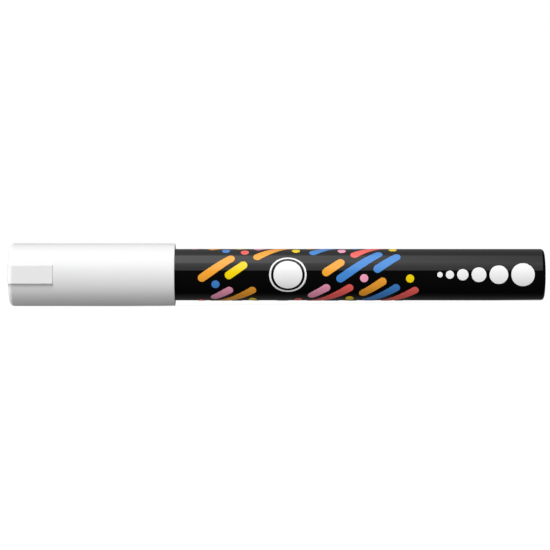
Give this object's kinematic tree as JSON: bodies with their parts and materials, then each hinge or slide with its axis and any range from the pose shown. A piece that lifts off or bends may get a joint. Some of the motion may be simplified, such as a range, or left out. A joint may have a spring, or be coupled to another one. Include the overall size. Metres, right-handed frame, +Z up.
{
  "type": "acrylic paint marker",
  "caption": "Capped acrylic paint marker with a bullet nib, a pump valve behind it, and steel mixing balls in a closed barrel.",
  "frame": {"origin": "on the marker's axis, halfway along its capped length", "axes": "+X along the axis towards the barrel's closed rear end, -Y out of the cap's anti-roll tab, +Z up as the marker lies with the tab to the front"},
  "size_m": [0.138, 0.0166, 0.0162],
  "materials": {
    "cap_white": "gloss",
    "inner_cap_natural": "satin",
    "barrel_black": "gloss",
    "nose_black": "satin",
    "nib_fibre": "matte",
    "valve_rubber": "matte",
    "valve_resin": "satin",
    "spring_steel": "satin",
    "ball_steel": "polished"
  },
  "bodies": {
    "barrel": {"barrel_tube": "barrel_black", "front_section": "nose_black", "valve_seat": "valve_rubber", "valve_housing": "valve_resin", "valve_spring": "spring_steel"},
    "cap": {"cap_shell": "cap_white", "inner_cap": "inner_cap_natural"},
    "nib": {"nib": "nib_fibre"},
    "stem": {"valve_stem": "valve_resin"},
    "ball_front": {"mixing_ball_1": "ball_steel"},
    "ball_rear": {"mixing_ball_2": "ball_steel"}
  },
  "joints": [
    {"name": "cap_pull", "type": "slide", "parent": "barrel", "child": "cap", "axis": [-1, 0, 0], "range_m": [0, 0.05]},
    {"name": "nib_press", "type": "slide", "parent": "barrel", "child": "nib", "axis": [1, 0, 0], "range_m": [0, 0.0018]},
    {"name": "valve_stroke", "type": "slide", "parent": "barrel", "child": "stem", "axis": [1, 0, 0], "range_m": [0, 0.0018], "stiffness_N_per_m": 700, "deforming": ["valve_spring"]},
    {"name": "ball_run_1", "type": "slide", "parent": "barrel", "child": "ball_front", "axis": [-1, 0, 0], "range_m": [0, 0.067]},
    {"name": "ball_run_2", "type": "slide", "parent": "barrel", "child": "ball_rear", "axis": [-1, 0, 0], "range_m": [0, 0.067]}
  ],
  "couplings": [
    {"joint": "valve_stroke", "follows": "nib_press", "ratio": 1},
    {"joint": "ball_run_2", "follows": "ball_run_1", "ratio": 1}
  ]
}
